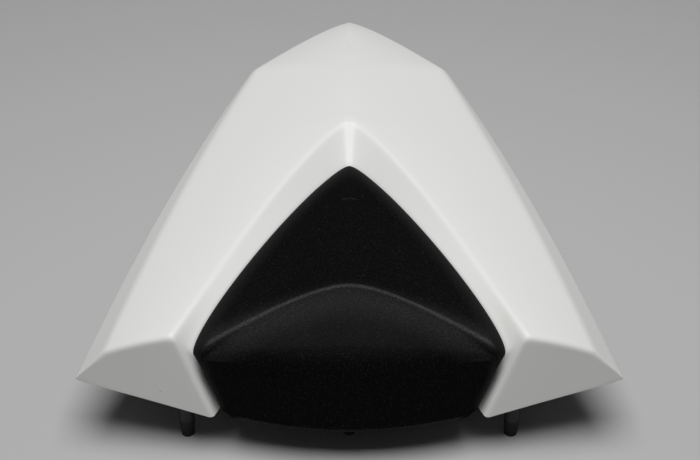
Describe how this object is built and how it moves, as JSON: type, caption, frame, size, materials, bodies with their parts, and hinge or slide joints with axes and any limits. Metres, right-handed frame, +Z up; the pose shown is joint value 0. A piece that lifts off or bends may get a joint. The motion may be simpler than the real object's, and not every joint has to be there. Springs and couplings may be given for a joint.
{
  "type": "seat cowl",
  "caption": "Motorbike rear seat cowl: creased white shell with two front wings round a black moulded bump pad, on a base plate with lock striker, hooks and rubber feet.",
  "frame": {"origin": "on the ground, below the middle of the whole part's box", "axes": "+Z up, +Y towards the tail tip, +X to the right seen from the front"},
  "size_m": [0.3126, 0.3549, 0.1084],
  "materials": {
    "shell": "satin-gloss white moulded plastic",
    "pad": "fine-grained black moulded foam skin",
    "black_plastic": "textured black moulded plastic",
    "zinc_steel": "zinc-plated steel",
    "rubber": "matt black rubber",
    "black_steel": "black-plated steel screws"
  },
  "bodies": {
    "root": {"cowl_shell": "shell", "pad": "pad", "pad_carrier": "black_plastic", "base_plate": "black_plastic", "striker_plate": "zinc_steel", "striker_loop": "zinc_steel", "striker_bolts": "zinc_steel", "striker_washers": "zinc_steel", "striker_nuts": "zinc_steel", "hook_left": "zinc_steel", "hook_right": "zinc_steel", "hook_bolts": "zinc_steel", "hook_nuts": "zinc_steel", "foot_front_left": "rubber", "foot_front_right": "rubber", "foot_rear_left": "rubber", "foot_rear_right": "rubber", "shell_screws": "black_steel", "shell_washers": "zinc_steel", "pad_screws": "black_steel"}
  },
  "joints": []
}
